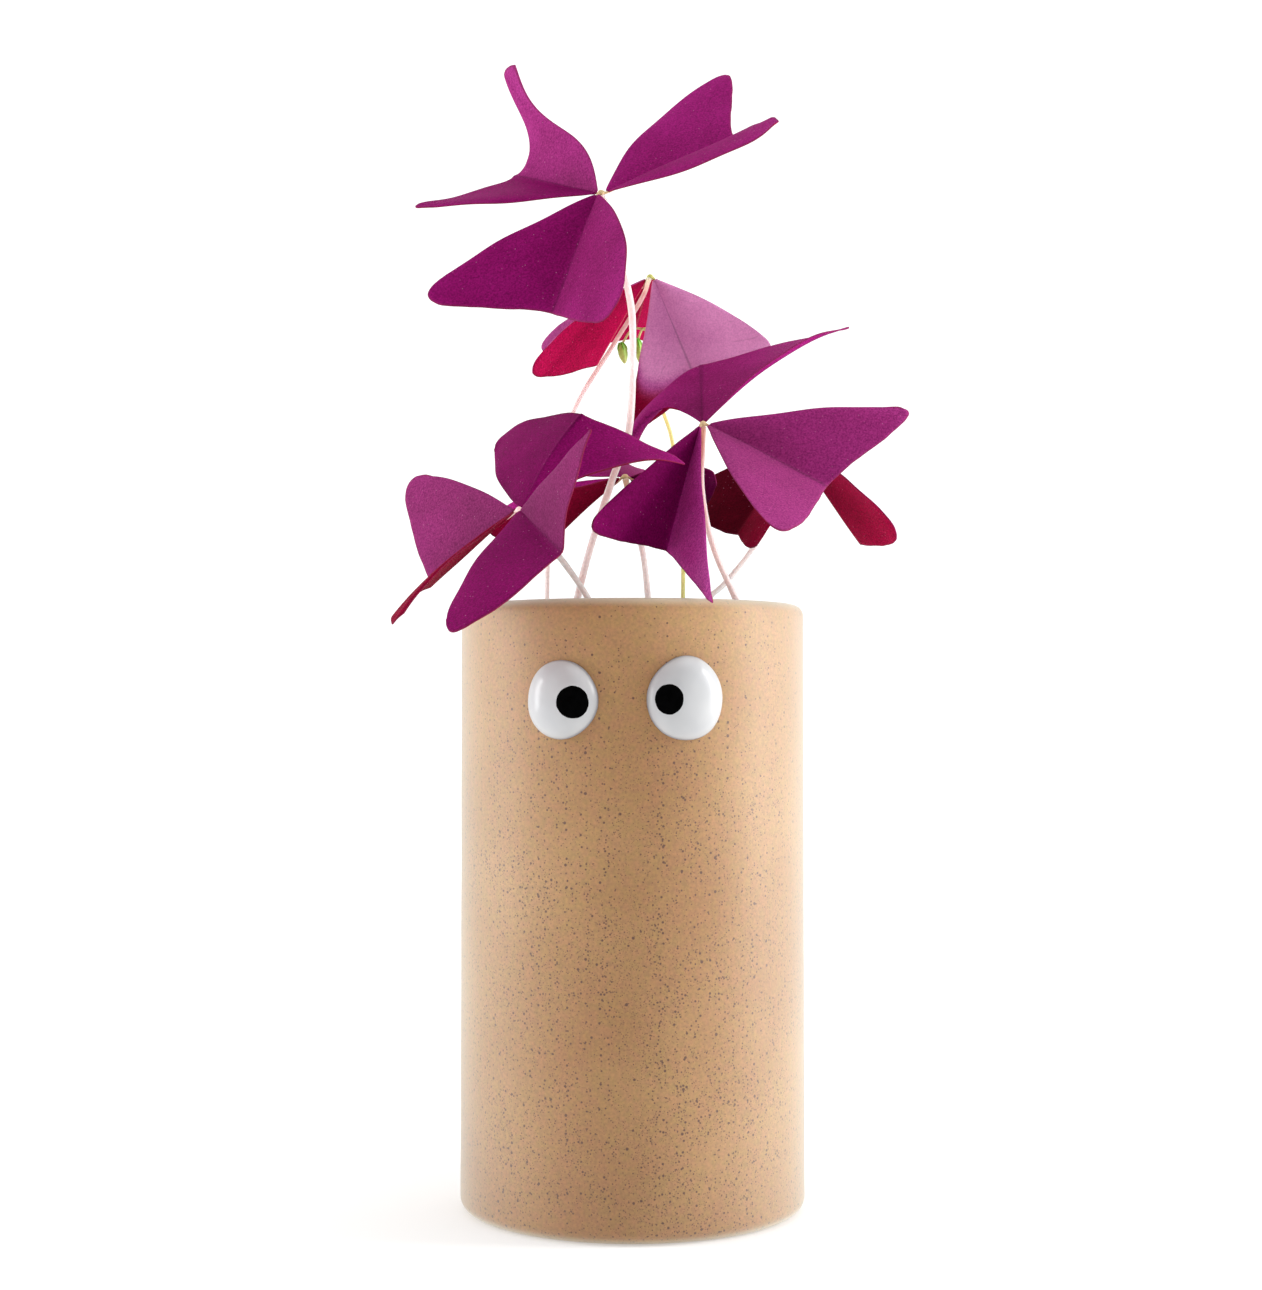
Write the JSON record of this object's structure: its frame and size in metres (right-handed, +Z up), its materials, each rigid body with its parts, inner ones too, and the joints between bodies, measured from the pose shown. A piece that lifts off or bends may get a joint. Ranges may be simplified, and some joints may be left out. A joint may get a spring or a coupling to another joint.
{
  "type": "potted purple shamrock",
  "caption": "Purple shamrock house plant with folded three-part leaves on thin stems, in a tall round stoneware pot with googly eyes.",
  "frame": {"origin": "centre of the pot's flat underside", "axes": "+Z up along the pot's axis, -Y towards the side that the eyes look to, +X to the right as seen from that side"},
  "size_m": [0.1351, 0.1643, 0.305],
  "materials": {
    "stoneware": "matte",
    "soil": "matte",
    "eye_glaze": "gloss",
    "petiole": "satin",
    "leaf": "satin",
    "flower_stalk": "satin"
  },
  "bodies": {
    "root": {"pot": "stoneware", "soil": "soil", "eye_left": "eye_glaze", "eye_right": "eye_glaze", "petiole_a": "petiole", "petiole_b": "petiole", "petiole_c": "petiole", "petiole_d": "petiole", "petiole_e": "petiole", "petiole_f": "petiole", "leaf_a": "leaf", "leaf_b": "leaf", "leaf_c": "leaf", "leaf_d": "leaf", "leaf_e": "leaf", "leaf_f": "leaf", "flower_stalk": "flower_stalk"}
  },
  "joints": []
}
